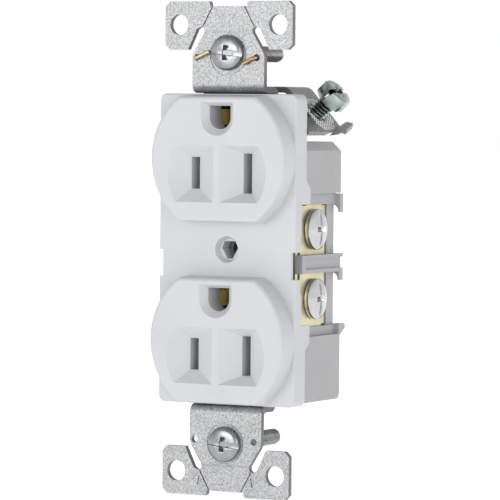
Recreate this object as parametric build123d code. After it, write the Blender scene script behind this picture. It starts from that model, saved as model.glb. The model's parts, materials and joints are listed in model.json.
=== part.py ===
from build123d import *
import math
import os

# Duplex wall receptacle, 15 A / 125 V pattern, side and back wired.
# Frame, millimetres: +X towards the neutral side, +Y into the wall, +Z up.
# Origin: middle of the strap, in the plane of the ears' rear faces.

# ---- driving dimensions ----
OUTLET_PITCH = 38.9          # between the two outlet faces
BLADE_PITCH = 12.7           # between the hot and neutral slots
PIN_RISE = 11.9              # ground pin centre above the blade centres
SCREW_PITCH = 83.3           # between the two box screws
BLADE_DROP = 3.07            # blade centres below the centre of an outlet face

STRAP_T = 1.3                # strap sheet
EAR_HALF_W = 15.5
EAR_TOP = 53.15
EAR_BOTTOM = 42.8
EAR_HOLE_X = 12.07
EAR_HOLE_Z = 48.15
EAR_HOLE_R = 2.22
WIRE_X = {1: 6.95, -1: -7.6}  # holes the self-grounding wire hooks through
NECK_HALF_W = 8.75
JOG_Z = 35.4                 # where the neck starts to bend back over the cover
BEND_IN = 0.6                # inside radius of the strap's first bend
BEND_IN_2 = 0.35             # and of the second, round the end of the cover
STRAP_IN_Y = 3.9             # front of the strap's inner run

COVER_HALF_W = 16.65
COVER_HALF_H = 33.35
COVER_FRONT = -STRAP_T       # flange is flush with the front of the ears
COVER_REAR = 3.5
COVER_WALL = 1.5
FLANGE_T = 2.4
FACE_RISE = 4.9
FACE_R = 16.6
FACE_FLAT = 13.72
FACE_DRAFT = 4.0
FUNNEL_DEPTH = 2.45          # blade recess, from the face down to the slots
FUNNEL_HALF_H = 6.08
RIDGE_HALF = 0.75            # half width of the ridge between the two recesses
SLOT_HALF_H = {-1: 3.4, 1: 4.25}

BODY_HALF_W = 16.1
BODY_BOTTOM = -32.7
BODY_TOP = 32.7
BODY_FRONT = 3.6
BODY_REAR = 20.7
BODY_WALL = 1.6
POCKET_X = 7.2               # corner pocket for the ground terminal
POCKET_Z = 23.2

CELL_TOP = (9.7, -5.2)       # upper ends of the two terminal cells
CELL_LOW = (-1.1, -16.6)     # lower ends
CELL_X = 14.4                # inset side face around the cells
TERM_Y = 11.6                # terminal screw axis
TERM_Z = (4.35, -10.65)
TERM_HEAD_R = 4.4
TERM_HEAD_IN = 14.34
TERM_HEAD_T = 2.08
TERM_DOME_R = 10.4           # radius of the domed top
TERM_SHANK_R = 2.05
BUS_OUT = 14.25
BUS_FRONT = 4.4              # plate edge behind the cover
BUS_REAR = 16.65
WALL_IN_Y = 17.3             # rear wall is thick beside the wire holes
LEDGE_REAR = 22.0            # flanges of the barrier stand out behind
HOOK_FRONT = 20.3
BUS_T = 0.9
CLAMP_IN = 9.6
CLAMP_T = 1.2

WIRE_HOLE_R = 1.35
WIRE_HOLE_X = 12.1
WIRE_HOLE_DZ = 3.0

BOX_SCREW_R = 1.72
BOX_SCREW_L = 23.42
BOX_SCREW_Z = (42.1, -41.85)  # screws sit off the middle of their slots
BOX_HEAD_R = 3.8
BOX_NECK_R = 1.5             # undercut that the captive washer sits on
BOX_NECK_END = 5.3
BOX_HEAD_T = 1.6

GND_T = 1.25                 # ground bracket sheet
GND_TOP = 35.0
GND_BEND_X = 8.94
GND_SLOPE = 48.7             # degrees below horizontal
GND_REAR = 19.5
GND_LOW = 25.4
GND_SCREW_Y = 13.4
GND_SCREW_Z = 29.45
GND_SCREW_R = 2.05
GND_HEAD_GAP = 3.9           # screw is backed out this far
GND_HEAD_T = 3.2
GND_HEAD_AF = 6.35

ASSEMBLY_Z = (16.4, -22.5)   # screws that hold the body to the cover
OUTLETS = (OUTLET_PITCH / 2, -OUTLET_PITCH / 2)
SIDES = (("neutral", 1), ("hot", -1))
LEVELS = ("upper", "lower")


# ---- helpers ----
def block(x0, x1, y0, y1, z0, z1):
    size = Box(x1 - x0, y1 - y0, z1 - z0)
    return Pos((x0 + x1) / 2, (y0 + y1) / 2, (z0 + z1) / 2) * size


def plate(sketch, y0, y1, taper=0.0):
    """Sketch in X and Z, from the rear plane y1 forward to y0."""
    return extrude(Plane.XZ.offset(-y1) * sketch, amount=y1 - y0, dir=(0, -1, 0), taper=taper)


def poly(points):
    return Polygon(*points, align=None)


def disc(x, z, r):
    return Pos(x, z) * Circle(r)


def rod_y(x, z, r, y0, y1):
    return plate(disc(x, z, r), y0, y1)


def rod_x(y, z, r, x0, x1):
    low, high = min(x0, x1), max(x0, x1)
    return Plane.YZ.offset(low) * (Pos(y, z) * extrude(Circle(r), amount=high - low))


def slab_x(points, x0, x1):
    """Outline in Y and Z, from x0 to x1."""
    return extrude(Plane.YZ.offset(x0) * poly(points), amount=x1 - x0, dir=(1, 0, 0))


def tag_round(part, picker, radius):
    """Round the edges that the picker chooses."""
    edges = [e for e in part.edges() if picker(e)]
    return fillet(edges, radius) if edges else part


def slot_centre(level):
    return OUTLETS[level] - BLADE_DROP


def pin_centre(level):
    return slot_centre(level) + PIN_RISE


# ---- front cover ----
def face_outline(level, radius, flat):
    z = OUTLETS[level]
    band = Pos(0, z) * Rectangle(4 * radius, 2 * flat)
    return disc(0, z, radius) & band


def blade_funnel(level, side):
    """Sloping recess that leads one blade into its slot."""
    zs = slot_centre(level)
    face_y = COVER_FRONT - FACE_RISE
    slot_y = face_y + FUNNEL_DEPTH
    near, far, belly = side * RIDGE_HALF, side * 10.0, side * 11.95
    top, low = zs - 0.15 + FUNNEL_HALF_H, zs - 0.15 - FUNNEL_HALF_H
    mouth = make_face([Line((near, low), (far, low)),
                       ThreePointArc((far, low), (belly, zs - 0.15), (far, top)),
                       Line((far, top), (near, top)),
                       Line((near, top), (near, low))])
    half_h = SLOT_HALF_H[side]
    x_in, x_out = side * (BLADE_PITCH / 2 - 1.05), side * (BLADE_PITCH / 2 + 1.05)
    floor = make_face([Line((x_in, zs - half_h), (x_out, zs - half_h)),
                       Line((x_out, zs - half_h), (x_out, zs + half_h)),
                       Line((x_out, zs + half_h), (x_in, zs + half_h)),
                       Line((x_in, zs + half_h), (x_in, zs - half_h))])
    front = Plane.XZ.offset(-face_y) * mouth
    back = Plane.XZ.offset(-slot_y) * floor
    over = extrude(front, amount=0.6, dir=(0, -1, 0))
    return loft([front, back], ruled=True) + over


def pin_mouth(level, grow, lift):
    """Flat-topped round-bottomed outline of a ground pin opening."""
    zc = pin_centre(level)
    half = 2.57 + grow
    top = zc + 2.5 + lift
    low = zc - 2.55 - grow
    return make_face([Line((-half, top), (half, top)),
                      Line((half, top), (half, low + half)),
                      ThreePointArc((half, low + half), (0, low), (-half, low + half)),
                      Line((-half, low + half), (-half, top))])


def pin_funnel(level):
    face_y = COVER_FRONT - FACE_RISE
    ledge_y = face_y + 1.5
    top = Plane.XZ.offset(-face_y) * pin_mouth(level, 1.35, 0.7)
    bottom = Plane.XZ.offset(-ledge_y) * pin_mouth(level, 0.05, 0.0)
    over = extrude(top, amount=0.6, dir=(0, -1, 0))
    return loft([top.faces()[0], bottom.faces()[0]], ruled=True) + over


def triangle_hole():
    """Three-cornered hole with cut corners for the wall plate's screw."""
    return poly([(-1.35, 1.75), (1.35, 1.75), (1.97, 0.3), (0.65, -2.0), (-0.65, -2.0), (-1.97, 0.3)])


def skirt(side, z_high, z_low, slant_high, slant_low):
    """Deeper stretch of side wall beside the terminal opening."""
    rear = 5.45
    outline = [(1.0, z_high + slant_high), (COVER_REAR, z_high + slant_high), (rear, z_high),
               (rear, z_low), (COVER_REAR, z_low - slant_low), (1.0, z_low - slant_low)]
    x_out = side * COVER_HALF_W
    x_in = side * (COVER_HALF_W - 0.45)
    return slab_x(outline, min(x_in, x_out), max(x_in, x_out))


def make_face_cover():
    outline = RectangleRounded(2 * COVER_HALF_W, 2 * COVER_HALF_H, 1.5)
    cover = plate(outline, COVER_FRONT, COVER_REAR)
    cover = tag_round(cover, lambda e: abs(e.center().Y - COVER_FRONT) < 0.01, 0.35)
    inside = Rectangle(2 * (COVER_HALF_W - COVER_WALL), 2 * (COVER_HALF_H - COVER_WALL))
    cover -= plate(inside, COVER_FRONT + FLANGE_T, COVER_REAR + 1)
    for level in (0, 1):
        raised = plate(face_outline(level, FACE_R, FACE_FLAT), COVER_FRONT - FACE_RISE,
                       COVER_FRONT + 1.0, taper=FACE_DRAFT)
        front_y = COVER_FRONT - FACE_RISE
        raised = tag_round(raised, lambda e: abs(e.center().Y - front_y) < 0.01, 0.8)
        cover += raised
    for level in (0, 1):
        z = OUTLETS[level]
        zs, zp = slot_centre(level), pin_centre(level)
        hollow = face_outline(level, 14.6, 11.6)
        hollow -= Pos(0, zs) * Rectangle(19.0, 11.6)
        hollow -= disc(0, zp - 0.3, 4.6)
        cover -= plate(hollow, COVER_FRONT - 2.2, COVER_FRONT + FLANGE_T + 0.5)
        cover += rod_y(0, zs, 2.7, COVER_FRONT + 1.0, COVER_REAR)
        for side in (-1, 1):
            cover -= blade_funnel(level, side)
            slot = Pos(side * BLADE_PITCH / 2, zs) * Rectangle(2.05, 2 * SLOT_HALF_H[side])
            cover -= plate(slot, COVER_FRONT - 3.5, COVER_REAR)
        cover -= pin_funnel(level)
        cover -= plate(pin_mouth(level, 0.0, 0.0), COVER_FRONT - 5.0, COVER_REAR)
        cover -= block(-3.4, 3.4, 0.35, COVER_REAR + 1, zp - 2.7, zp + 2.9)
    # boss, cone and three-cornered hole at the middle
    cover += rod_y(0, 0, 4.2, COVER_FRONT + 1.0, COVER_REAR)
    cone = Plane.XZ.offset(-COVER_FRONT + 0.001) * Circle(2.85)
    cone_floor = Plane.XZ.offset(-COVER_FRONT - 1.5) * Circle(2.25)
    cover -= loft([cone.faces()[0], cone_floor.faces()[0]])
    cover -= plate(triangle_hole(), COVER_FRONT - 1, COVER_REAR + 1)
    # pilot holes for the assembly screws
    for z in ASSEMBLY_Z:
        cover -= rod_y(0, z, 1.29, -1.0, COVER_REAR + 1)
    for side in (1, -1):
        reach = side * COVER_HALF_W
        # side walls stop short beside the terminals, most of all over the break-off link
        x0, x1 = sorted((reach + side, side * 14.9))
        cover -= block(x0, x1, 1.5, 8, CELL_LOW[1] + 0.7, CELL_TOP[0] + 0.25)
        cover -= block(x0, x1, 0.9, 8, -9.6, 3.2)
        cover += skirt(side, 13.1, CELL_TOP[0] + 0.25, 1.9, 0.0)
        cover += skirt(side, CELL_LOW[1] + 0.7, -20.0, 0.0, 1.2)
        # window over the break-off link
        x0, x1 = sorted((reach + side, side * 15.7))
        cover -= block(x0, x1, COVER_FRONT - 1, COVER_REAR + 1, -6.1, -0.3)
        x0, x1 = sorted((side * 16.2, side * 11.0))
        cover -= block(x0, x1, -0.6, COVER_REAR + 1, -6.1, -0.3)
    return cover


# ---- strap ----
def ear_sheet():
    """Flat half of the strap above the bend: neck, ears, holes and score lines."""
    right = poly([(0, JOG_Z), (NECK_HALF_W, JOG_Z), (NECK_HALF_W, 41.5), (8.3, 42.6), (5.9, 46.4),
                  (5.9, 52.1), (0, 52.1)])
    ear = poly([(9.9, EAR_BOTTOM), (14.45, EAR_BOTTOM), (EAR_HALF_W, 43.85),
                (EAR_HALF_W, 52.1), (14.45, EAR_TOP), (4.9, EAR_TOP), (4.53, 52.8),
                (4.53, 47.3), (7.72, 47.3)])
    sheet = right + ear
    sheet -= disc(6.75, 46.75, 0.92)
    sheet -= disc(EAR_HOLE_X, EAR_HOLE_Z, EAR_HOLE_R)
    sheet += mirror(sheet, Plane.YZ)
    sheet -= Pos(0, SCREW_PITCH / 2) * SlotOverall(6.6, 4.3)
    return sheet


def groove(x0, z0, x1, z1, width=0.3, depth=0.3, rear=False):
    """Shallow line pressed into the front or the rear of the strap."""
    length = math.hypot(x1 - x0, z1 - z0)
    angle = math.degrees(math.atan2(z1 - z0, x1 - x0))
    line = Pos((x0 + x1) / 2, (z0 + z1) / 2) * (Rot(0, 0, angle) * Rectangle(length, width))
    if rear:
        return plate(line, -depth, 0.1)
    return plate(line, -STRAP_T - 0.1, -STRAP_T + depth)


def strap_jog():
    """Neck's double bend over the end of the cover, as one swept profile."""
    ri, ro = BEND_IN, BEND_IN + STRAP_T
    si, so = BEND_IN_2, BEND_IN_2 + STRAP_T
    y_in, y_out = STRAP_IN_Y, STRAP_IN_Y + STRAP_T
    z_a = JOG_Z
    z_top = z_a - ri
    z_bot = z_a - ro
    z_b = z_bot - si
    q = math.sqrt(0.5)
    yc_a = ri
    yc_b = y_in - si
    edges = [
        Line((0, z_a), (-STRAP_T, z_a)),
        ThreePointArc((-STRAP_T, z_a), (yc_a - ro * q, z_a - ro * q), (yc_a, z_bot)),
        Line((yc_a, z_bot), (yc_b, z_bot)),
        ThreePointArc((yc_b, z_bot), (yc_b + si * q, z_b + si * q), (y_in, z_b)),
        Line((y_in, z_b), (y_out, z_b)),
        ThreePointArc((y_out, z_b), (yc_b + so * q, z_b + so * q), (yc_b, z_top)),
        Line((yc_b, z_top), (yc_a, z_top)),
        ThreePointArc((yc_a, z_top), (yc_a - ri * q, z_a - ri * q), (0, z_a)),
    ]
    profile = Plane.YZ.offset(-NECK_HALF_W) * make_face(edges)
    return extrude(profile, amount=2 * NECK_HALF_W, dir=(1, 0, 0)), z_b


def make_mounting_strap():
    end, z_in = strap_jog()
    top = plate(ear_sheet(), -STRAP_T, 0)
    for side in (1, -1):
        top -= groove(side * 3.83, 52.2, side * 6.3, 47.7)
        top -= groove(side * 3.6, 52.62, side * 6.6, 47.1, rear=True)
        top -= rod_y(WIRE_X[side], 41.1, 0.75, -2, 1)
    top -= groove(-5.8, 46.5, 5.8, 46.5, 0.3, 0.2)
    ring = disc(0, SCREW_PITCH / 2, 4.45) - disc(0, SCREW_PITCH / 2, 4.2)
    top -= plate(ring, -STRAP_T - 0.1, -STRAP_T + 0.15)
    half = top + end
    strap = half + mirror(half, Plane.XY)
    for side in (1, -1):
        strap -= groove(side * 6.3, -48.9, side * 6.75, -51.0, 0.3, 0.2)
    inner = Rectangle(2 * 3.2, 2 * z_in)
    inner += Pos(0, (z_in + 23.5) / 2) * Rectangle(2 * NECK_HALF_W, z_in - 23.5)
    inner += Pos(0, -(z_in + 29.0) / 2) * Rectangle(2 * NECK_HALF_W, z_in - 29.0)
    inner += Pos(0, -3.5) * Rectangle(12.0, 25.0)
    for level in (0, 1):
        inner -= Pos(0, pin_centre(level)) * RectangleRounded(6.6, 5.8, 1.2)
    for z in ASSEMBLY_Z:
        inner -= disc(0, z, 1.6)
    strap += plate(inner, STRAP_IN_Y, STRAP_IN_Y + STRAP_T)
    strap += rod_y(0, 0, 2.4, STRAP_IN_Y, STRAP_IN_Y + 2.6)
    strap -= rod_y(0, 0, 1.42, STRAP_IN_Y - 1, STRAP_IN_Y + 4)
    sink = Cone(1.75, 1.42, 0.33, align=(Align.CENTER, Align.CENTER, Align.MIN))
    strap -= Plane(origin=(0, STRAP_IN_Y, 0), z_dir=(0, 1, 0)) * sink
    for x, z in RIVETS_XZ:
        strap -= rod_y(x, z, 1.0, STRAP_IN_Y - 1, STRAP_IN_Y + 2)
    return strap


# ---- rear housing ----
def body_outline(inset):
    w = BODY_HALF_W - inset
    return poly([(-w, BODY_BOTTOM + inset), (w, BODY_BOTTOM + inset), (w, POCKET_Z - inset),
                 (POCKET_X - inset, POCKET_Z - inset), (POCKET_X - inset, BODY_TOP - inset),
                 (-w, BODY_TOP - inset)])


def hook(side, z_root, z_tip, rear):
    """Claw at the rear edge of a cell that keeps a looped wire in place."""
    x_in, x_out = side * (CELL_X - 0.6), side * BODY_HALF_W
    claw = poly([(x_in, z_root), (x_out, z_root), (x_out, z_tip), (x_in, z_tip)])
    claw -= disc(side * (CELL_X - 0.45), z_tip, 1.75)
    part = plate(claw, HOOK_FRONT, rear)
    return tag_round(part, lambda e: abs(e.center().Y - rear) < 0.01
                     and abs(abs(e.center().X) - BODY_HALF_W) < 0.01, 0.6)


def make_rear_housing():
    housing = plate(body_outline(0), BODY_FRONT, BODY_REAR)
    housing = tag_round(housing, lambda e: abs(e.center().Y - BODY_REAR) < 0.01
                        and abs(e.center().Z - BODY_BOTTOM) < 0.01, 1.4)
    # sloping shoulder below the ground terminal
    shoulder = [(BODY_HALF_W + 1, POCKET_Z + 0.1), (BODY_HALF_W - 1.1, POCKET_Z + 0.1),
                (BODY_HALF_W + 0.05, POCKET_Z - 2.0), (BODY_HALF_W + 1, POCKET_Z - 2.0)]
    housing -= plate(poly(shoulder), BODY_FRONT - 1, BODY_REAR + 1)
    rear_cut = [(18.4, POCKET_Z + 0.1), (BODY_REAR + 0.1, POCKET_Z - 2.3),
                (BODY_REAR + 2, POCKET_Z - 2.3), (BODY_REAR + 2, POCKET_Z + 0.1)]
    housing -= slab_x(rear_cut, POCKET_X, BODY_HALF_W + 1)
    housing -= plate(body_outline(BODY_WALL), BODY_FRONT - 1, BODY_REAR - BODY_WALL)
    # insulating walls either side of the grounded middle
    for side in (1, -1):
        x0, x1 = sorted((side * 3.6, side * 4.7))
        housing += block(x0, x1, 7.4, BODY_REAR - 1, BODY_BOTTOM + 1, POCKET_Z - 0.6)
    for z in ASSEMBLY_Z:
        housing += rod_y(0, z, 3.4, STRAP_IN_Y + STRAP_T, BODY_REAR - 1)
    housing += block(-5.0, 5.0, 7.4, BODY_REAR - 1, -1.2, 1.2)
    for side in (1, -1):
        # ledges above and below each pair of cells, set in from the side face
        x0, x1 = sorted((side * CELL_X, side * (BODY_HALF_W + 2)))
        housing -= block(x0, x1, 0, BODY_REAR + 2, CELL_LOW[1] - 2.0, CELL_TOP[0] + 2.4)
        # cells open to the side, as far in as the contact space
        x0, x1 = sorted((side * (BODY_HALF_W - BODY_WALL - 2), side * (BODY_HALF_W + 2)))
        housing -= block(x0, x1, 0, BODY_REAR - BODY_WALL, CELL_LOW[1], CELL_TOP[0])
        # thin inset walls above and below the cells, outside the contact strips
        x0, x1 = sorted((side * (BUS_OUT + 0.1), side * (CELL_X + 0.55)))
        housing += block(x0, x1, BODY_FRONT, BODY_REAR - 0.3, CELL_TOP[0], CELL_TOP[0] + 2.5)
        housing += block(x0, x1, BODY_FRONT, BODY_REAR - 0.3, CELL_LOW[1] - 2.1, CELL_LOW[1])
        # thick rear wall between the cells and the back face
        x0, x1 = sorted((side * 10.4, side * CELL_X))
        housing += block(x0, x1, WALL_IN_Y, BODY_REAR - 0.3, CELL_LOW[1], CELL_TOP[0])
        # barrier between the two terminals: a web with a flange above and below
        x0, x1 = sorted((side * (BUS_OUT + 0.1), side * 15.6))
        housing += block(x0, x1, 2.9, 21.7, CELL_TOP[1] + 0.4, CELL_LOW[0] - 0.3)
        x0, x1 = sorted((side * (BUS_OUT + 0.1), side * BODY_HALF_W))
        housing += block(x0, x1, 2.9, LEDGE_REAR, CELL_LOW[0] - 0.7, CELL_LOW[0])
        housing += block(x0, x1, 2.9, LEDGE_REAR - 0.6, CELL_TOP[1] + 0.2, CELL_TOP[1] + 1.05)
        housing += block(x0, x1, 2.9, 4.6, CELL_TOP[1] + 0.2, CELL_LOW[0])
        housing += hook(side, CELL_TOP[0] + 2.2, CELL_TOP[0] - 1.8, 22.3)
        housing += hook(side, CELL_TOP[1] + 0.9, CELL_TOP[1] - 1.7, 22.4)
        lug = slab_x([(HOOK_FRONT, -18.7), (HOOK_FRONT, -16.4), (22.9, -16.4), (23.2, -16.8),
                      (23.2, -17.4), (BODY_REAR, -18.9)], min(x0, x1), max(x0, x1))
        housing += lug
        # walls that guide the clamps
        for z in (CELL_TOP[0] + 0.9, CELL_LOW[1] - 0.9):
            x0, x1 = sorted((side * 4.7, side * CELL_X))
            housing += block(x0, x1, 15.6, BODY_REAR - 1, z - 0.6, z + 0.6)
        for z in TERM_Z:
            for dz in (WIRE_HOLE_DZ, -WIRE_HOLE_DZ):
                housing -= rod_y(side * WIRE_HOLE_X, z + dz, WIRE_HOLE_R, WALL_IN_Y - 1, BODY_REAR + 1)
    # way in for the strap at both ends
    for z0, z1 in ((23.4, BODY_TOP + 1), (BODY_BOTTOM - 1, -28.9)):
        housing -= block(-NECK_HALF_W - 0.15, NECK_HALF_W + 0.15, 0, STRAP_IN_Y + STRAP_T, z0, z1)
    # way out for the ground bracket's top plate
    housing -= block(-7.7, POCKET_X + 1, 0, STRAP_IN_Y + STRAP_T + GND_T + 0.1, 23.4, BODY_TOP + 1)
    housing -= block(-3.5, 3.5, 0, STRAP_IN_Y + STRAP_T + GND_T + 0.9, 28.0, BODY_TOP - 0.6)
    for z in ASSEMBLY_Z:
        housing -= rod_y(0, z, 1.45, 0, BODY_REAR + 1)
        housing -= rod_y(0, z, 2.9, BODY_REAR - 1.6, BODY_REAR + 1)
    return housing


# ---- ground parts ----
def slope_dir():
    a = math.radians(GND_SLOPE)
    return (math.cos(a), -math.sin(a)), (math.sin(a), math.cos(a))


def slope_point(z):
    """X on the outer plane of the sloping tab at a height."""
    return GND_BEND_X + (GND_TOP - z) / math.tan(math.radians(GND_SLOPE))


def tab_profile(x_start):
    """Top plate and sloping tab in X and Z, bend rounded on both sides."""
    (sx, sz), (nx, nz) = slope_dir()
    low = (slope_point(GND_LOW), GND_LOW)
    bend_in = math.tan(math.radians(GND_SLOPE / 2)) * GND_T
    inner_bend = (GND_BEND_X - bend_in, GND_TOP - GND_T)
    inner_low = (low[0] - nx * GND_T, low[1] - nz * GND_T)
    face = poly([(x_start, GND_TOP), (GND_BEND_X, GND_TOP), low, inner_low, inner_bend,
                 (x_start, GND_TOP - GND_T)])
    outer_corner = [v for v in face.vertices() if abs(v.X - GND_BEND_X) < 0.01 and v.Y > GND_TOP - 0.1]
    inner_corner = [v for v in face.vertices() if abs(v.X - inner_bend[0]) < 0.01
                    and abs(v.Y - inner_bend[1]) < 0.01]
    face = fillet(outer_corner, 2.6)
    inner_corner = [v for v in face.vertices() if abs(v.X - inner_bend[0]) < 0.01
                    and abs(v.Y - inner_bend[1]) < 0.01]
    return fillet(inner_corner, 1.4)


def finger_profile():
    """Corner of the tab turned out to keep the wire under the screw."""
    (sx, sz), (nx, nz) = slope_dir()
    z0 = GND_LOW + 1.2
    x0 = slope_point(z0)
    return poly([(x0 - nx * GND_T, z0 - nz * GND_T), (x0, z0), (x0 + 1.15, z0 + 0.75), (x0 + 1.9, z0 + 0.95),
                 (x0 + 3.3, z0 + 0.55), (x0 + 3.0, z0 - 0.5), (x0 + 1.9, z0 - 0.2),
                 (x0 + 1.2, z0 - 0.55)])


def make_ground_bracket():
    wide = plate(tab_profile(-6.0), 9.2, GND_REAR)
    (sx, sz), (nx, nz) = slope_dir()
    top = plate(poly([(-6.0, GND_TOP), (5.0, GND_TOP), (5.0, GND_TOP - GND_T), (-6.0, GND_TOP - GND_T)]),
                STRAP_IN_Y + STRAP_T + 1.0, 9.3)
    # leg behind the strap, joined to the top plate by a rounded bend
    leg_y = STRAP_IN_Y + STRAP_T
    leg = block(-7.4, 4.6, leg_y, leg_y + GND_T, 24.6, GND_TOP - 1.2)
    leg += block(-3.2, 3.2, leg_y, leg_y + GND_T, 22.0, 24.6)
    leg -= plate(Pos(0, pin_centre(0)) * RectangleRounded(6.6, 5.8, 1.2), leg_y - 1, leg_y + 3)
    bend = block(-6.0, 4.6, leg_y, leg_y + 1.3, GND_TOP - 1.3, GND_TOP)
    bend = tag_round(bend, lambda e: abs(e.center().Y - leg_y) < 0.01
                     and abs(e.center().Z - GND_TOP) < 0.01, 1.1)
    # foot that runs forward from the low edge of the tab
    foot_z = GND_LOW + 3.1
    foot = poly([(slope_point(foot_z), foot_z), (slope_point(GND_LOW), GND_LOW),
                 (slope_point(GND_LOW) - nx * GND_T, GND_LOW - nz * GND_T),
                 (slope_point(foot_z) - nx * GND_T, foot_z - nz * GND_T)])
    bracket = wide + top + leg + bend + plate(foot, COVER_REAR + 0.25, 9.3)
    # rear low corner cut on the slant, where the finger turns out
    cut = Plane.XZ.offset(-GND_REAR - 0.5) * poly([(14.2, GND_LOW + 1.2), (19.5, GND_LOW + 1.2),
                                                    (19.5, GND_LOW - 3), (14.2, GND_LOW - 3)])
    slant = (1.3, -6.0, -1.4)
    bracket -= extrude(cut, amount=8.0, dir=slant)
    finger = extrude(Plane.XZ.offset(-GND_REAR) * finger_profile(), amount=5.6, dir=slant)
    bracket += finger
    axis_point = (slope_point(GND_SCREW_Z), GND_SCREW_Y, GND_SCREW_Z)
    hole = Plane(origin=axis_point, z_dir=(nx, 0, nz)) * Cylinder(GND_SCREW_R + 0.05, 8)
    bracket -= hole
    for x, z in RIVETS_XZ[:2]:
        bracket -= rod_y(x, z, 1.0, leg_y - 1, leg_y + 3)
    return bracket


def drive_recess(head_r, depth):
    """Slot and cross recess cut into a screw head; the head's top is z = 0."""
    slot = Box(2 * head_r + 1, 1.1, 2 * depth * 0.6)
    cross = Box(0.42 * 2 * head_r, 1.25, 2 * depth) + Box(1.25, 0.42 * 2 * head_r, 2 * depth)
    return slot + cross


def pan_screw(head_r, head_t, shank_r, shank_l, tip):
    """Screw along +z, head's underside at z = 0 and the shank below it."""
    head = Cylinder(head_r, head_t, align=(Align.CENTER, Align.CENTER, Align.MIN))
    head = fillet(head.edges().group_by(Axis.Z)[-1], head_t * 0.4)
    head = chamfer(head.edges().group_by(Axis.Z)[0], head_t * 0.3)
    shank = Pos(0, 0, -shank_l) * Cylinder(shank_r, shank_l, align=(Align.CENTER, Align.CENTER, Align.MIN))
    shank = chamfer(shank.edges().group_by(Axis.Z)[0], tip)
    return head + shank - Pos(0, 0, head_t) * drive_recess(head_r, head_t * 0.75)


def make_ground_screw():
    (sx, sz), (nx, nz) = slope_dir()
    x, z = slope_point(GND_SCREW_Z), GND_SCREW_Z
    seat = (x + nx * GND_HEAD_GAP, GND_SCREW_Y, z + nz * GND_HEAD_GAP)
    head = extrude(RegularPolygon(GND_HEAD_AF / 2, 6, major_radius=False), amount=GND_HEAD_T)
    top_bevel = Cylinder(GND_HEAD_AF * 0.56, GND_HEAD_T, align=(Align.CENTER, Align.CENTER, Align.MIN))
    head &= chamfer(top_bevel.edges().group_by(Axis.Z)[-1], 0.5)
    shank_l = 6.6
    shank = Pos(0, 0, -shank_l) * Cylinder(GND_SCREW_R, shank_l, align=(Align.CENTER, Align.CENTER, Align.MIN))
    shank = chamfer(shank.edges().group_by(Axis.Z)[0], 0.6)
    screw = head + shank - Pos(0, 0, GND_HEAD_T) * drive_recess(GND_HEAD_AF / 2, 1.5)
    return Plane(origin=seat, x_dir=(0, 1, 0), z_dir=(nx, 0, nz)) * screw


def make_ground_contact(level):
    """Brass clip with two leaves that grip the ground pin."""
    z = pin_centre(level)
    y0 = STRAP_IN_Y + STRAP_T + (GND_T if level == 0 else 0)
    t = 0.8
    base_low, base_top = (z - 6.2, z + 3.4) if level == 0 else (z - 5.6, z + 4.8)
    base = block(-3.3, 3.3, y0, y0 + t, base_low, base_top)
    base -= plate(Pos(0, z) * RectangleRounded(4.5, 4.8, 1.5), y0 - 1, y0 + 2)
    clip = base
    for side in (1, -1):
        leaf = poly([(side * 2.3, y0), (side * 2.95, y0), (side * 2.95, 2.4), (side * 3.1, 0.7),
                     (side * 2.6, 0.6), (side * 2.25, 2.4)])
        clip += Pos(0, 0, z - 1.6) * extrude(leaf, amount=3.4, dir=(0, 0, 1))
    for x, zr in RIVETS_XZ:
        if abs(zr - z) < 6 and abs(x) < 3:
            clip -= rod_y(x, zr, 1.0, y0 - 1, y0 + 2)
    return clip


def make_strap_rivets():
    rivets = []
    for index, (x, z) in enumerate(RIVETS_XZ):
        stack = STRAP_T + (GND_T if index < 2 else 0) + (0.8 if index != 1 else 0)
        y0 = STRAP_IN_Y
        shank = rod_y(x, z, 0.98, y0 - 0.02, y0 + stack + 0.5)
        rivets.append(shank + rod_y(x, z, 1.7, y0 + stack + 0.02, y0 + stack + 0.7))
    return Compound(children=rivets)


def make_self_ground_wire():
    """Spring wire hooked through two holes that bears on the top box screw."""
    r = 0.42
    z = SCREW_PITCH / 2
    left, right = WIRE_X[-1], WIRE_X[1]
    route = [(-4.3, -2.0, z + 0.75), (left + 0.65, -2.15, z - 0.45), (left, -1.75, z - 0.6),
             (left, 0.45, z - 0.65), (left + 0.75, 0.62, z - 0.9), (-1.2, 0.62, z - 2.35),
             (1.2, 0.62, z - 2.35), (right - 0.75, 0.62, z - 0.9), (right, 0.45, z - 0.6),
             (right, -1.75, z - 0.55), (right - 0.65, -2.15, z - 0.75), (4.1, -2.0, z - 1.85)]
    radii = [0.3] * (len(route) - 2)
    path = FilletPolyline(*route, radius=radii)
    start = Plane(origin=route[0], z_dir=Vector(*route[1]) - Vector(*route[0]))
    return sweep(start * Circle(r), path=path)


RIVETS_XZ = ((0.0, 23.4), (-6.0, 28.3), (0.0, -6.9), (0.0, -15.2))


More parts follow.
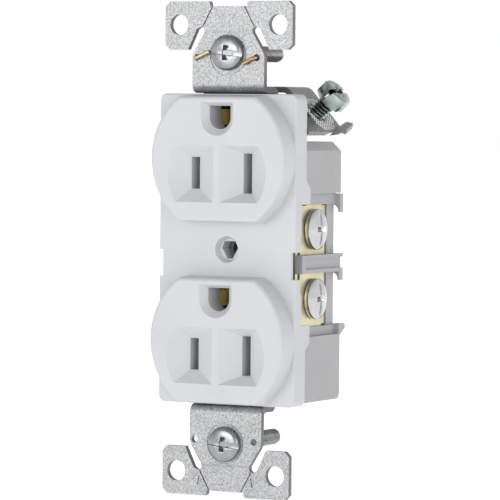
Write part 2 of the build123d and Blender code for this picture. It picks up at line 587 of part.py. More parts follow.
# ---- live parts ----
def make_bus(side):
    """Terminal plate with its break-off link and the two blade contacts."""
    xo, xi = BUS_OUT, BUS_OUT - BUS_T
    outline = [(BUS_FRONT, 9.5), (BUS_REAR, 9.5), (BUS_REAR, -16.15), (BUS_FRONT, -16.15)]
    bus = slab_x(outline, xi, xo)
    # break-off link: a bar clear of the plate between its two roots
    bus += block(xi, xo, 3.2, 4.25, -8.6, 1.8)
    for z0, z1 in ((-8.6, -7.4), (0.6, 1.8)):
        bus += block(xi, xo, 4.0, 5.0, z0, z1)
    bus -= block(xi - 1, xo + 1, 4.25, 5.3, -7.4, 0.6)
    bus -= block(xi - 1, xo + 1, 4.25, 18, -4.4, -1.9)
    for z in TERM_Z:
        bus -= rod_x(TERM_Y, z, TERM_SHANK_R + 0.25, xi - 1, xo + 1)
    for level, root in ((0, 9.4), (1, -16.1)):
        zs = slot_centre(level)
        z0, z1 = zs - 3.8, zs + 3.8
        bus += block(xi, xo, 8.0, 15.4, min(root, z0), max(root, z1))
        profile = [(7.2, 6.0), (7.9, 6.0), (7.55, 7.4), (7.55, 14.5), (13.4, 14.5), (13.4, 15.3),
                   (5.1, 15.3), (5.1, 7.4), (4.8, 6.0), (5.5, 6.0), (5.75, 7.4), (5.75, 14.5),
                   (6.95, 14.5), (6.95, 7.4)]
        bus += Pos(0, 0, z0) * extrude(poly(profile), amount=z1 - z0, dir=(0, 0, 1))
    return bus if side > 0 else mirror(bus, Plane.YZ)


def make_terminal_screw(side, z):
    """Domed head with a crisp rim, shank long enough for the clamp at its far end."""
    shank_l = TERM_HEAD_IN - 8.2
    low = (Align.CENTER, Align.CENTER, Align.MIN)
    head = Cylinder(TERM_HEAD_R, TERM_HEAD_T, align=low)
    head &= Pos(0, 0, TERM_HEAD_T - TERM_DOME_R) * Sphere(TERM_DOME_R)
    shank = Pos(0, 0, -shank_l) * Cylinder(TERM_SHANK_R, shank_l, align=low)
    shank = chamfer(shank.edges().group_by(Axis.Z)[0], 0.5)
    screw = head + shank - Pos(0, 0, TERM_HEAD_T) * drive_recess(TERM_HEAD_R, 1.3)
    return Plane(origin=(side * TERM_HEAD_IN, TERM_Y, z), x_dir=(0, 0, 1), z_dir=(side, 0, 0)) * screw


def make_clamp(side, z):
    """Pressure plate with a tapped hole and two wire grooves."""
    clamp = block(CLAMP_IN, CLAMP_IN + CLAMP_T, 7.4, 16.0, z - 4.2, z + 4.2)
    clamp = tag_round(clamp, lambda e: abs(e.center().X - CLAMP_IN - CLAMP_T / 2) < 0.01, 0.8)
    for dz in (WIRE_HOLE_DZ, -WIRE_HOLE_DZ):
        clamp -= rod_y(CLAMP_IN + CLAMP_T + 0.75, z + dz, 1.1, 0, 20)
    clamp -= rod_x(TERM_Y, z, TERM_SHANK_R + 0.05, CLAMP_IN - 1, CLAMP_IN + 3)
    return clamp if side > 0 else mirror(clamp, Plane.YZ)


# ---- box screws ----
def make_box_screw(index):
    screw = pan_screw(BOX_HEAD_R, BOX_HEAD_T, BOX_SCREW_R, BOX_SCREW_L, 0.8)
    z = BOX_SCREW_Z[index]
    screw = Plane(origin=(0, -STRAP_T - 0.02, z), x_dir=(1, 0, 0), z_dir=(0, -1, 0)) * screw
    ring = disc(0, z, BOX_SCREW_R + 1) - disc(0, z, BOX_NECK_R)
    return screw - plate(ring, -STRAP_T - 0.02, BOX_NECK_END)


def make_screw_washer(index):
    z = BOX_SCREW_Z[index]
    return plate(disc(0, z, 3.1) - disc(0, z, BOX_NECK_R + 0.05), 4.2, 5.0)


def make_assembly_screws():
    screws = []
    for z in ASSEMBLY_Z:
        screw = pan_screw(2.6, 1.2, 1.25, BODY_REAR - 1.6, 0.4)
        place = Plane(origin=(0, BODY_REAR - 1.6 + 0.02, z), x_dir=(1, 0, 0), z_dir=(0, 1, 0))
        screws.append(place * screw)
    return Compound(children=screws)


def make_parts():
    parts = {
        "face_cover": make_face_cover(),
        "rear_housing": make_rear_housing(),
        "mounting_strap": make_mounting_strap(),
        "ground_bracket": make_ground_bracket(),
        "ground_screw": make_ground_screw(),
        "strap_rivets": make_strap_rivets(),
        "self_ground_wire": make_self_ground_wire(),
        "assembly_screws": make_assembly_screws(),
    }
    for level, name in enumerate(LEVELS):
        parts[f"ground_contact_{name}"] = make_ground_contact(level)
    for index, name in enumerate(("top", "bottom")):
        parts[f"box_screw_{name}"] = make_box_screw(index)
        parts[f"screw_washer_{name}"] = make_screw_washer(index)
    for pole, side in SIDES:
        parts[f"{pole}_bus"] = make_bus(side)
        for level, name in enumerate(LEVELS):
            parts[f"{pole}_screw_{name}"] = make_terminal_screw(side, TERM_Z[level])
            parts[f"{pole}_clamp_{name}"] = make_clamp(side, TERM_Z[level])
    return parts


if __name__ == "__main__":
    os.makedirs("parts", exist_ok=True)
    for node, shape in make_parts().items():
        export_step(shape, f"parts/{node}.step")
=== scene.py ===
import json
import math

import bmesh
import bpy
from mathutils import Matrix, Vector


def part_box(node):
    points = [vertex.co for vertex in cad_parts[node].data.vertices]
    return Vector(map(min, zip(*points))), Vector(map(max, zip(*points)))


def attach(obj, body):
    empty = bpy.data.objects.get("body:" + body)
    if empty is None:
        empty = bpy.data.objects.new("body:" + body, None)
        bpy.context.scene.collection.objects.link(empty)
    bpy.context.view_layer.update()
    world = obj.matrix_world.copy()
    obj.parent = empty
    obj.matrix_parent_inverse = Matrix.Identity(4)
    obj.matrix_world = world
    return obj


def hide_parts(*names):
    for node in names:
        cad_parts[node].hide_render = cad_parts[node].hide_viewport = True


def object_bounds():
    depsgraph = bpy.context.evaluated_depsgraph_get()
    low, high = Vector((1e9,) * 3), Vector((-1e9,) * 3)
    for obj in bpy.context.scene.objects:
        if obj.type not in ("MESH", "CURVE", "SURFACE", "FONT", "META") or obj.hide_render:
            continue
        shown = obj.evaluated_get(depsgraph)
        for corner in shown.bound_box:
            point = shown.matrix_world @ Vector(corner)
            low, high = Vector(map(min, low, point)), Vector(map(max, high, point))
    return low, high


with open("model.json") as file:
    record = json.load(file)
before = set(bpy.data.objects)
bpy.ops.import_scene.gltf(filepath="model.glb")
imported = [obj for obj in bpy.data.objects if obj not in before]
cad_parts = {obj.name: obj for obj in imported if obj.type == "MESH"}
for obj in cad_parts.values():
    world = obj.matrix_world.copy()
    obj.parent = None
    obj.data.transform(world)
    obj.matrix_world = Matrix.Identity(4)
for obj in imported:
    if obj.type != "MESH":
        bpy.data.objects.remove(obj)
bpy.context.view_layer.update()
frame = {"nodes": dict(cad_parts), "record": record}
nodes = frame["nodes"]

# Lengths in the section on screws are in millimetres until settle() scales them.
MM = 0.001
ROUND = 2 * math.pi


def link_object(name, mesh):
    obj = bpy.data.objects.new(name, mesh)
    bpy.context.collection.objects.link(obj)
    return obj


# ---------------------------------------------------------------- materials
def new_material(name):
    mat = bpy.data.materials.new(name)
    mat.use_nodes = True
    tree = mat.node_tree
    tree.nodes.clear()
    out = tree.nodes.new("ShaderNodeOutputMaterial")
    bsdf = tree.nodes.new("ShaderNodeBsdfPrincipled")
    tree.links.new(bsdf.outputs["BSDF"], out.inputs["Surface"])
    coord = tree.nodes.new("ShaderNodeTexCoord")
    return mat, tree, bsdf, coord.outputs["Object"]


def noise(tree, vector, scale, detail=3.0, rough=0.5):
    node = tree.nodes.new("ShaderNodeTexNoise")
    node.inputs["Scale"].default_value = scale
    node.inputs["Detail"].default_value = detail
    node.inputs["Roughness"].default_value = rough
    tree.links.new(vector, node.inputs["Vector"])
    return node.outputs["Fac"]


def stretch(tree, vector, scale):
    """Coordinates scaled unevenly, so that noise becomes lines."""
    node = tree.nodes.new("ShaderNodeMapping")
    node.inputs["Scale"].default_value = scale
    tree.links.new(vector, node.inputs["Vector"])
    return node.outputs["Vector"]


def ramp(tree, fac, stops):
    node = tree.nodes.new("ShaderNodeValToRGB")
    points = node.color_ramp.elements
    while len(points) < len(stops):
        points.new(0.5)
    for point, (pos, colour) in zip(points, stops):
        point.position = pos
        point.color = (*colour, 1.0)
    tree.links.new(fac, node.inputs["Fac"])
    return node.outputs["Color"]


def remap(tree, fac, low, high, lo_in=0.3, hi_in=0.7):
    """Noise's usual span spread over low to high."""
    node = tree.nodes.new("ShaderNodeMapRange")
    node.inputs["From Min"].default_value = lo_in
    node.inputs["From Max"].default_value = hi_in
    node.inputs["To Min"].default_value = low
    node.inputs["To Max"].default_value = high
    tree.links.new(fac, node.inputs["Value"])
    return node.outputs["Result"]


def bump(tree, bsdf, height, strength, distance):
    node = tree.nodes.new("ShaderNodeBump")
    node.inputs["Strength"].default_value = strength
    node.inputs["Distance"].default_value = distance
    tree.links.new(height, node.inputs["Height"])
    tree.links.new(node.outputs["Normal"], bsdf.inputs["Normal"])


def tone(colour, gain):
    """Colour made lighter or darker."""
    return tuple(min(1.0, c * gain) for c in colour)


def plastic(name, colour, rough, grain=2600.0, sheen=0.0, spread=0.02, sss=0.0):
    """Moulded plastic: faint cloudiness, uneven polish and a fine spark-eroded grain."""
    mat, tree, bsdf, vec = new_material(name)
    cloud = noise(tree, vec, 110.0, 4.0)
    tint = ramp(tree, cloud, [(0.3, tone(colour, 1 - spread)), (0.7, tone(colour, 1 + spread))])
    tree.links.new(tint, bsdf.inputs["Base Color"])
    wear = noise(tree, vec, 420.0, 3.0)
    tree.links.new(remap(tree, wear, rough - 0.05, rough + 0.06), bsdf.inputs["Roughness"])
    bump(tree, bsdf, noise(tree, vec, grain, 2.0), 0.12, 0.00003)
    bsdf.inputs["IOR"].default_value = 1.5
    bsdf.inputs["Coat Weight"].default_value = sheen
    bsdf.inputs["Coat Roughness"].default_value = 0.3
    if sss:
        bsdf.inputs["Subsurface Weight"].default_value = sss
        bsdf.inputs["Subsurface Radius"].default_value = (0.0012, 0.0011, 0.001)
    return mat


def darken(tree, colour, factor, amount=1.0):
    """Colour multiplied by a second one."""
    mix = tree.nodes.new("ShaderNodeMix")
    mix.data_type = "RGBA"
    mix.blend_type = "MULTIPLY"
    mix.inputs["Factor"].default_value = amount
    tree.links.new(colour, mix.inputs["A"])
    tree.links.new(factor, mix.inputs["B"])
    return mix.outputs["Result"]


def painted_crevice_shade(tree, low):
    """Painted shade: grey factor that is low in thread roots and recess corners."""
    shape = tree.nodes.new("ShaderNodeNewGeometry").outputs["Pointiness"]
    return ramp(tree, shape, [(0.465, (low, low, low)), (0.497, (1, 1, 1))])


def painted_edge_shade(tree, low):
    """Painted shade: grey factor that is low on faces at right angles to the sheet's front."""
    split = tree.nodes.new("ShaderNodeSeparateXYZ")
    normal = tree.nodes.new("ShaderNodeTexCoord").outputs["Normal"]
    tree.links.new(normal, split.inputs["Vector"])
    size = tree.nodes.new("ShaderNodeMath")
    size.operation = "ABSOLUTE"
    tree.links.new(split.outputs["Y"], size.inputs[0])
    return ramp(tree, size.outputs["Value"], [(0.0, (low, low, low)), (0.75, (1, 1, 1))])


def galvanized(name, dark, light, rough, grain=1500.0, pits=0.35, edge=None):
    """Hot dipped sheet: salt and pepper speckle over soft patches, with a pitted surface and optional
    painted shade on the edge faces.
    """
    mat, tree, bsdf, vec = new_material(name)
    speck = noise(tree, vec, grain, 3.0, 0.65)
    patch = noise(tree, vec, 260.0, 4.0)
    mix = tree.nodes.new("ShaderNodeMix")
    mix.data_type = "FLOAT"
    mix.inputs["Factor"].default_value = 0.25
    tree.links.new(speck, mix.inputs["A"])
    tree.links.new(patch, mix.inputs["B"])
    shade = ramp(tree, mix.outputs["Result"], [(0.34, dark), (0.62, light)])
    # painted shade: faces at right angles to the sheet's front darkened
    if edge:
        shade = darken(tree, shade, painted_edge_shade(tree, edge))
    tree.links.new(shade, bsdf.inputs["Base Color"])
    tree.links.new(remap(tree, patch, rough - 0.08, rough + 0.1), bsdf.inputs["Roughness"])
    bsdf.inputs["Metallic"].default_value = 0.85
    bump(tree, bsdf, speck, pits, 0.00006)
    return mat


def metal(name, colour, rough, spread=0.12, grain=900.0, pits=0.12, lines=None, crevice_shade=None,
          purity=1.0):
    """Plated or rolled metal: tarnish, uneven polish, optional rolling lines and painted shade in
    grooves.
    """
    mat, tree, bsdf, vec = new_material(name)
    blot = noise(tree, vec, 300.0, 4.0)
    tint = ramp(tree, blot, [(0.3, tone(colour, 1 - spread)), (0.7, tone(colour, 1 + spread * 0.4))])
    # painted shade: thread roots and recess corners darkened through pointiness
    if crevice_shade:
        tint = darken(tree, tint, painted_crevice_shade(tree, crevice_shade))
    tree.links.new(tint, bsdf.inputs["Base Color"])
    bsdf.inputs["Metallic"].default_value = purity
    fine = noise(tree, stretch(tree, vec, lines) if lines else vec, grain, 3.0)
    tree.links.new(remap(tree, fine, max(0.03, rough - 0.06), rough + 0.07), bsdf.inputs["Roughness"])
    bump(tree, bsdf, fine, pits, 0.00003)
    return mat


def two_tone_wire(name, left, right, rough):
    """Bronze wire whose left strand is plated brass and whose right strand is bare copper."""
    mat, tree, bsdf, vec = new_material(name)
    split = tree.nodes.new("ShaderNodeSeparateXYZ")
    tree.links.new(vec, split.inputs["Vector"])
    place = remap(tree, split.outputs["X"], 0.0, 1.0, -0.002, 0.002)
    stain = noise(tree, vec, 900.0, 3.0)
    tint = ramp(tree, place, [(0.3, left), (0.7, right)])
    shade = ramp(tree, stain, [(0.35, (0.55, 0.5, 0.45)), (0.65, (1, 1, 1))])
    tree.links.new(darken(tree, tint, shade, 0.5), bsdf.inputs["Base Color"])
    bsdf.inputs["Metallic"].default_value = 1.0
    tree.links.new(remap(tree, stain, rough - 0.05, rough + 0.1), bsdf.inputs["Roughness"])
    return mat


def make_materials():
    """One material per slot of the record, and a near-white metal that paints highlights on the tops
    of the pressed points.
    """
    return {
        "white_nylon": plastic("white_nylon", (0.57, 0.58, 0.60), 0.44, sheen=0.1, sss=0.05),
        "grey_body": plastic("grey_body", (0.40, 0.40, 0.41), 0.5, grain=2000.0, spread=0.03),
        # strap: its last number is painted shade on the sheet's edge faces
        "galvanized_strap": galvanized("galvanized_strap", (0.20, 0.205, 0.21), (0.56, 0.565, 0.57),
                                       0.46, 2400.0, 0.15, 0.5),
        "galvanized_bracket": galvanized("galvanized_bracket", (0.15, 0.16, 0.16), (0.42, 0.43, 0.43),
                                         0.42, 2400.0, 0.12),
        # screw metals: painted shade darkens their thread roots and recess corners
        "zinc_screws": metal("zinc_screws", (0.35, 0.36, 0.365), 0.26, 0.3, crevice_shade=0.1),
        "nickel_screws": metal("nickel_screws", (0.60, 0.605, 0.615), 0.13, 0.12, crevice_shade=0.15),
        "green_screw": metal("green_screw", (0.47, 0.55, 0.51), 0.2, 0.45, 900.0, 0.4, crevice_shade=0.06),
        "brass_bus": metal("brass_bus", (0.74, 0.68, 0.46), 0.36, 0.14, 600.0, 0.15, (1.0, 0.25, 1.0)),
        "contact_brass": metal("contact_brass", (1.0, 0.76, 0.28), 0.42, 0.2, 600.0, 0.15, purity=0.2),
        "spring_wire": two_tone_wire("spring_wire", (0.66, 0.58, 0.38), (0.62, 0.38, 0.22), 0.26),
        "clamp_steel": metal("clamp_steel", (0.5, 0.5, 0.5), 0.3),
        # painted highlight: near-white metal stands for glints on the tops of the pressed points
        "painted_highlight_points": metal("painted_highlight_points", (0.95, 0.95, 0.94), 0.4, 0.05),
    }


def paint(obj, mat):
    obj.data.materials.clear()
    obj.data.materials.append(mat)


def paint_nodes():
    look = {part["node"]: part["material_slot"] for part in frame["record"]["subparts"]}
    for name, obj in nodes.items():
        paint(obj, MAT[look[name]])


MAT = make_materials()
paint_nodes()

# ---------------------------------------------------------------- screws and small pressed detail
# a thread of 32 turns to the inch
PITCH = 0.7938
# driver recesses: the slot runs past any head's rim, and both narrow towards their floors
SLOT_REACH, SLOT_DRAFT = 5.0, 0.86
CROSS_TOP, CROSS_LOW, CROSS_TAPER = 0.62, 0.42, 0.55
JOINTS = {joint["name"]: joint for joint in frame["record"]["behaviour"]["joints"]}


def mesh_object(name, verts, faces):
    mesh = bpy.data.meshes.new(name)
    mesh.from_pydata(verts, [], faces)
    return link_object(name, mesh)


def object_from(name, bm):
    mesh = bpy.data.meshes.new(name)
    bm.to_mesh(mesh)
    bm.free()
    return link_object(name, mesh)


def lathe(name, profile, segments=72):
    """Profile of (radius, height) from the low end to the high end, turned about z, in millimetres."""
    verts = [(0, 0, profile[0][1])]
    for r, z in profile:
        for k in range(segments):
            a = ROUND * k / segments
            verts.append((r * math.cos(a), r * math.sin(a), z))
    verts.append((0, 0, profile[-1][1]))
    top = len(verts) - 1
    faces = []
    for k in range(segments):
        n = (k + 1) % segments
        faces.append((0, 1 + n, 1 + k))
        for j in range(len(profile) - 1):
            a = 1 + j * segments
            b = a + segments
            faces.append((a + k, a + n, b + n, b + k))
        last = 1 + (len(profile) - 1) * segments
        faces.append((last + k, last + n, top))
    return mesh_object(name, verts, faces)


def prism(name, outline_low, outline_high, z_low, z_high):
    """Solid between two outlines with the same number of corners."""
    n = len(outline_low)
    verts = [(x, y, z_low) for x, y in outline_low] + [(x, y, z_high) for x, y in outline_high]
    faces = [tuple(reversed(range(n))), tuple(range(n, 2 * n))]
    faces += [(k, (k + 1) % n, n + (k + 1) % n, n + k) for k in range(n)]
    return mesh_object(name, verts, faces)


def cross_outline(arm, half):
    """Plus sign, with arms of a length and half width."""
    quarter = [(arm, -half), (arm, half), (half, half)]
    outline = []
    for _ in range(4):
        outline += quarter
        quarter = [(-y, x) for x, y in quarter]
    return outline


def baked(obj):
    """Object's mesh with its modifiers applied."""
    bpy.context.view_layer.update()
    graph = bpy.context.evaluated_depsgraph_get()
    mesh = bpy.data.meshes.new_from_object(obj.evaluated_get(graph))
    old = obj.data
    obj.modifiers.clear()
    obj.data = mesh
    bpy.data.meshes.remove(old)
    return obj


def carve(obj, tool, operation="DIFFERENCE"):
    mod = obj.modifiers.new("carve", "BOOLEAN")
    mod.operation = operation
    mod.solver = "EXACT"
    mod.object = tool
    baked(obj)
    bpy.data.objects.remove(tool)
    return obj


def soften(obj, width=0.07, angle=32.0):
    mod = obj.modifiers.new("soften", "BEVEL")
    mod.width = width
    mod.segments = 2
    mod.limit_method = "ANGLE"
    mod.angle_limit = math.radians(angle)
    return baked(obj)


def threaded_rod(name, z_low, z_high, r_out, r_root, tip_r, tip_l, run_out=0.4, segments=48):
    """Screw thread as one helical skin, tapered at the low end, in millimetres."""
    # crest, flank and root, as shares of one turn
    steps = ((0.0, r_out), (0.12, r_out), (0.46, r_root), (0.62, r_root))
    turns = int((z_high - z_low) / PITCH) + 2
    rings = turns * len(steps)
    bm = bmesh.new()
    grid = []
    for j in range(rings + len(steps)):
        row = []
        for k in range(segments):
            shift, r = steps[j % len(steps)]
            z = z_low - PITCH + PITCH * (j // len(steps) + shift + k / segments)
            z = min(max(z, z_low), z_high)
            r = min(r, tip_r + (r_out - tip_r) * (z - z_low) / tip_l)
            r = min(r, r_root + (r_out - r_root) * (z_high - z) / run_out)
            a = ROUND * k / segments
            row.append(bm.verts.new((r * math.cos(a), r * math.sin(a), z)))
        grid.append(row)
    for j in range(rings - 1):
        for k in range(segments):
            n = (k + 1) % segments
            up = len(steps) if n == 0 else 0
            bm.faces.new((grid[j][k], grid[j + up][n], grid[j + 1 + up][n], grid[j + 1][k]))
    bmesh.ops.remove_doubles(bm, verts=bm.verts, dist=0.0005)
    bmesh.ops.dissolve_degenerate(bm, dist=0.0004, edges=bm.edges)
    bmesh.ops.holes_fill(bm, edges=[e for e in bm.edges if e.is_boundary])
    bmesh.ops.recalc_face_normals(bm, faces=bm.faces)
    return object_from(name, bm)


def merge(name, objs):
    """One object from several shells."""
    bm = bmesh.new()
    for obj in objs:
        bm.from_mesh(obj.data)
    for obj in objs:
        bpy.data.objects.remove(obj)
    return object_from(name, bm)


def settle(obj, place, body, slot, node=None, angle=38.0):
    """Scale a piece from millimetres, put it in place, smooth it and let it ride its body."""
    bm = bmesh.new()
    bm.from_mesh(obj.data)
    bmesh.ops.transform(bm, matrix=place @ Matrix.Scale(MM, 4), verts=bm.verts)
    for face in bm.faces:
        face.smooth = True
    for edge in bm.edges:
        edge.smooth = len(edge.link_faces) == 2 and edge.calc_face_angle(0) < math.radians(angle)
    bm.to_mesh(obj.data)
    bm.free()
    paint(obj, MAT[slot])
    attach(obj, body)
    if node:
        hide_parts(node)
    return obj


def frame_at(point, axis, turn=0.0, side=Vector((0, 0, 1))):
    """Matrix whose z runs along axis from point, turned about it."""
    z = Vector(axis).normalized()
    x = (Vector(side) - z * z.dot(Vector(side))).normalized()
    y = z.cross(x)
    base = Matrix((x, y, z)).transposed().to_4x4()
    return Matrix.Translation(point) @ base @ Matrix.Rotation(turn, 4, "Z")


def slot_and_cross(head, top, slot_w, slot_depth, arm, cross_depth):
    """Straight slot right across a head, and a tapered cross recess in its middle."""
    h = slot_w / 2
    bar = [(-SLOT_REACH, -h), (SLOT_REACH, -h), (SLOT_REACH, h), (-SLOT_REACH, h)]
    floor = [(x, y * SLOT_DRAFT) for x, y in bar]
    carve(head, prism("slot_tool", floor, bar, top - slot_depth, top + 1.0))
    wide = cross_outline(arm, CROSS_TOP)
    narrow = cross_outline(arm * CROSS_TAPER, CROSS_LOW)
    carve(head, prism("cross_tool", narrow, wide, top - cross_depth, top + 0.3))
    return head


def node_middle(node):
    low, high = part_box(node)
    return low, high, (low + high) / 2


# both terminal sides, each with the direction it faces along x
POLES = (("neutral", 1), ("hot", -1))


# box screws: pan head, undercut neck, long machine thread
BOX_HEAD_T = 1.6
BOX_HEAD = [(3.25, 0.0), (3.6, 0.12), (3.78, 0.4), (3.8, 0.7), (3.7, 1.02), (3.42, 1.3), (2.9, 1.48),
            (2.0, 1.57), (1.0, BOX_HEAD_T)]
BOX_NECK_L, BOX_NECK_R = 6.62, 1.48
BOX_THREAD = {"r_out": 1.72, "r_root": 1.25, "tip_r": 0.85, "tip_l": 1.4}
BOX_RECESS = {"slot_w": 1.15, "slot_depth": 0.85, "arm": 1.75, "cross_depth": 1.35}
BOX_TURN = math.radians(84)


def add_box_screw(end):
    node = f"box_screw_{end}"
    low, high, middle = node_middle(node)
    seat_y = low.y + BOX_HEAD_T * MM
    full_l = (high.y - seat_y) / MM
    head = slot_and_cross(lathe("head", BOX_HEAD), BOX_HEAD_T, **BOX_RECESS)
    soften(head, 0.06)
    neck = lathe("neck", [(BOX_NECK_R, -BOX_NECK_L - 0.2), (BOX_NECK_R, 0.4)], 40)
    rod = threaded_rod("rod", z_low=-full_l, z_high=-BOX_NECK_L, **BOX_THREAD)
    place = frame_at(Vector((middle.x, seat_y, middle.z)), (0, -1, 0), BOX_TURN)
    screw = merge(f"{node}_threaded", [head, neck, rod])
    settle(screw, place, f"{end}_box_screw_turn", "zinc_screws", node)


# terminal screws: crisp rim and a low dome
DOME_R, DOME_TOP, RIM_R = 10.4, 2.08, 4.4
DOME_STEPS = 8
TERMINAL_THREAD = {"r_out": 2.05, "r_root": 1.65, "tip_r": 1.3, "tip_l": 0.8}
TERMINAL_RECESS = {"slot_w": 1.05, "slot_depth": 0.75, "arm": 2.0, "cross_depth": 1.45}
RIM = [(4.1, 0.0), (4.33, 0.1), (RIM_R, 0.25), (RIM_R, 0.95), (4.34, 1.1)]


def dome_head():
    """Rim, then the dome's arc from the rim to near the middle."""
    arc = []
    for k in range(DOME_STEPS - 1, 0, -1):
        r = RIM_R * k / DOME_STEPS
        arc.append((r, DOME_TOP - (DOME_R - math.sqrt(DOME_R ** 2 - r ** 2))))
    return lathe("head", RIM + arc, 96)


def add_terminal_screw(pole, side, level, turn):
    node = f"{pole}_screw_{level}"
    low, high, middle = node_middle(node)
    seat_x = (high.x if side > 0 else low.x) - side * DOME_TOP * MM
    full_l = (high.x - low.x) / MM - DOME_TOP
    head = slot_and_cross(dome_head(), DOME_TOP, **TERMINAL_RECESS)
    soften(head, 0.06)
    rod = threaded_rod("rod", z_low=-full_l, z_high=0.3, **TERMINAL_THREAD)
    place = frame_at(Vector((seat_x, middle.y, middle.z)), (side, 0, 0), turn)
    screw = merge(f"{node}_threaded", [head, rod])
    settle(screw, place, f"{pole}_{level}_screw_turn", "nickel_screws", node)


# ground screw: hexagon head with slot and cross, backed out of its tapped tab
HEX_AF, HEX_T, HEX_GAP, HEX_SHANK = 6.35, 3.2, 3.9, 6.6
HEX_TOP = HEX_T - 0.02
HEX_THREAD = {"r_out": 2.05, "r_root": 1.35, "tip_r": 1.2, "tip_l": 0.7}
HEX_RECESS = {"slot_w": 1.15, "slot_depth": 0.95, "arm": 1.7, "cross_depth": 1.7}
HEX_CAP = [(3.3, -0.01), (3.55, 0.2), (3.55, 2.75), (3.3, 3.02), (3.0, HEX_TOP)]
TAB_POINT = Vector(JOINTS["ground_screw_turn"]["pos_m"])
TAB_OUT = -Vector(JOINTS["ground_screw_turn"]["axis"])


def add_ground_screw():
    r = HEX_AF / 2 / math.cos(math.pi / 6)
    six = [(r * math.cos(ROUND * k / 6), r * math.sin(ROUND * k / 6)) for k in range(6)]
    head = prism("head", six, six, 0.0, HEX_T)
    carve(head, lathe("cap", HEX_CAP), "INTERSECT")
    slot_and_cross(head, HEX_TOP, **HEX_RECESS)
    soften(head, 0.08)
    rod = threaded_rod("rod", z_low=-HEX_SHANK, z_high=0.2, **HEX_THREAD)
    seat = TAB_POINT + TAB_OUT * HEX_GAP * MM
    place = frame_at(seat, TAB_OUT, 0.0, Vector((0, 1, 0)))
    screw = merge("ground_screw_threaded", [head, rod])
    settle(screw, place, "ground_screw_turn", "green_screw", "ground_screw")


# scored neck that joins the two halves of each terminal plate beside the link bar
NECK_Y, NECK_Z, SCORE_Z = (5.3, 6.9), (-4.6, -1.7), -3.15
SCORE_HALF, SCORE_DEPTH = 0.2, 0.18
BUS_T = 0.9


def add_link_neck(pole, side):
    front, rear = NECK_Y
    bottom, top = NECK_Z
    outline = [(front, bottom), (rear, bottom), (rear, SCORE_Z - SCORE_HALF),
               (rear - SCORE_DEPTH, SCORE_Z), (rear, SCORE_Z + SCORE_HALF), (rear, top), (front, top),
               (front, SCORE_Z + SCORE_HALF), (front + SCORE_DEPTH, SCORE_Z),
               (front, SCORE_Z - SCORE_HALF)]
    low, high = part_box(f"{pole}_bus")
    outer = (high.x if side > 0 else low.x) / MM
    inner = outer - side * BUS_T
    strip = soften(prism("strip", outline, outline, min(inner, outer), max(inner, outer)), 0.05)
    strip.name = f"{pole}_link_neck"
    upright = Matrix(((0, 0, 1), (1, 0, 0), (0, 1, 0))).to_4x4()
    settle(strip, upright, "device_frame", "brass_bus")


# raised points pressed into the tab, in diagonal rows round the ground screw
POINT_STEP, POINT_R, POINT_RISE = 0.42, 0.21, 0.2
POINT_ROWS = 9
POINTS_FROM, POINTS_TO = 2.55, 5.1
TAB_UP, TAB_DOWN, TAB_FRONT, TAB_CORNER = -4.2, 4.7, -3.9, 3.0


def on_tab(u, v):
    """Whether a spot, down the slope by u and rearward by v, is on the pressed part of the tab."""
    in_ring = POINTS_FROM < math.hypot(u, v) < POINTS_TO
    past_corner = u > TAB_CORNER and v > TAB_CORNER
    return in_ring and TAB_UP < u < TAB_DOWN and v > TAB_FRONT and not past_corner


def add_tab_points():
    down = Vector((TAB_OUT.z, 0, -TAB_OUT.x))
    size = Matrix.Diagonal((POINT_R * MM, POINT_R * MM, POINT_RISE * MM, 1.0))
    bm = bmesh.new()
    for i in range(-POINT_ROWS, POINT_ROWS + 1):
        for j in range(-POINT_ROWS, POINT_ROWS + 1):
            u = (i + j) * POINT_STEP
            v = (i - j) * POINT_STEP
            if on_tab(u, v):
                spot = TAB_POINT + (down * u + Vector((0, v, 0)) + TAB_OUT * 0.02) * MM
                place = frame_at(spot, TAB_OUT) @ size
                bmesh.ops.create_icosphere(bm, subdivisions=2, radius=1.0, matrix=place)
    for face in bm.faces:
        face.smooth = True
    tab_points = object_from("tab_points", bm)
    # painted highlight: the points are painted near-white for the glints on their tops
    paint(tab_points, MAT["painted_highlight_points"])
    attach(tab_points, "device_frame")


for end in ("top", "bottom"):
    add_box_screw(end)
for pole, side in POLES:
    for level, turn in (("upper", 0.0), ("lower", 0.03)):
        add_terminal_screw(pole, side, level, turn)
add_ground_screw()
for pole, side in POLES:
    add_link_neck(pole, side)
add_tab_points()

# ---------------------------------------------------------------- floor and light
FLOOR_GAP = 0.2 * MM
FLOOR_R, FLOOR_GLOW = 6.0, 0.6
SKY = [(0.0, (1, 1, 1)), (0.22, (1, 1, 1)), (0.6, (0.5, 0.5, 0.5)), (1.0, (0.42, 0.42, 0.42))]


def add_floor():
    """Plain pale floor that glows a little, so that it runs into the background."""
    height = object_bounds()[0].z - FLOOR_GAP
    bpy.ops.mesh.primitive_circle_add(vertices=128, radius=FLOOR_R, fill_type="NGON",
                                      location=(0, 0, height))
    floor = bpy.context.object
    floor.name = "studio_floor"
    paper = plastic("studio_paper", (0.93, 0.93, 0.93), 0.7, 60.0, spread=0.004)
    bsdf = next(n for n in paper.node_tree.nodes if n.type == "BSDF_PRINCIPLED")
    bsdf.inputs["Emission Color"].default_value = (1.0, 1.0, 1.0, 1.0)
    bsdf.inputs["Emission Strength"].default_value = FLOOR_GLOW
    paint(floor, paper)


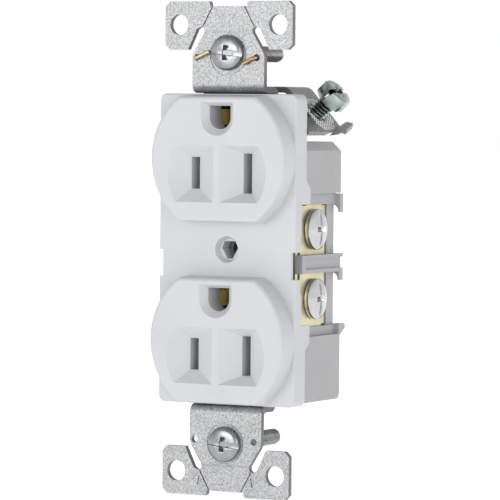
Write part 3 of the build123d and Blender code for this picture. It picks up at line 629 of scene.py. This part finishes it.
def add_sky():
    """Soft white surround, greyer overhead."""
    world = bpy.data.worlds.new("studio")
    bpy.context.scene.world = world
    world.use_nodes = True
    tree = world.node_tree
    sky = tree.nodes["Background"]
    direction = tree.nodes.new("ShaderNodeTexCoord").outputs["Generated"]
    split = tree.nodes.new("ShaderNodeSeparateXYZ")
    tree.links.new(direction, split.inputs["Vector"])
    tree.links.new(ramp(tree, split.outputs["Z"], SKY), sky.inputs["Color"])
    sky.inputs["Strength"].default_value = 1.0


def area_light(name, place, aim, size, power):
    data = bpy.data.lights.new(name, "AREA")
    data.shape = "RECTANGLE"
    data.size, data.size_y = size
    data.energy = power
    lamp = link_object(name, data)
    lamp.location = place
    lamp.rotation_mode = "QUATERNION"
    lamp.rotation_quaternion = (Vector(aim) - Vector(place)).to_track_quat("-Z", "Y")


add_floor()
add_sky()
area_light("key", (-0.25, -0.9, 0.12), (0, 0, 0), (0.5, 0.3), 1.5)
area_light("side", (0.75, -0.55, 0.1), (0, 0, 0), (0.35, 0.5), 1.2)
bpy.context.scene.view_settings.view_transform = "Standard"

# ---------------------------------------------------------------- camera
CAM_AZ, CAM_EL, CAM_ROLL = map(math.radians, (28.508, 2.263, 0.469))
CAM_AIM = Vector((4.976 * MM, 0.0, -0.022 * MM))
CAM_DIST = 768.89 * MM
CAM_LENS, CAM_SENSOR = 258.65, 36.0


def add_camera():
    """Camera that looks from azimuth CAM_AZ, right of the front, with a slight roll."""
    flat = math.cos(CAM_EL)
    back = Vector((math.sin(CAM_AZ) * flat, -math.cos(CAM_AZ) * flat, math.sin(CAM_EL)))
    right = Vector((math.cos(CAM_AZ), math.sin(CAM_AZ), 0.0))
    up = back.cross(right)
    cam_x = right * math.cos(CAM_ROLL) + up * math.sin(CAM_ROLL)
    cam_y = up * math.cos(CAM_ROLL) - right * math.sin(CAM_ROLL)
    data = bpy.data.cameras.new("camera")
    data.sensor_width = CAM_SENSOR
    data.lens = CAM_LENS
    data.clip_start, data.clip_end = 0.05, 30.0
    camera = link_object("camera", data)
    basis = Matrix((cam_x, cam_y, back)).transposed().to_4x4()
    camera.matrix_world = Matrix.Translation(CAM_AIM + back * CAM_DIST) @ basis
    bpy.context.scene.camera = camera


add_camera()
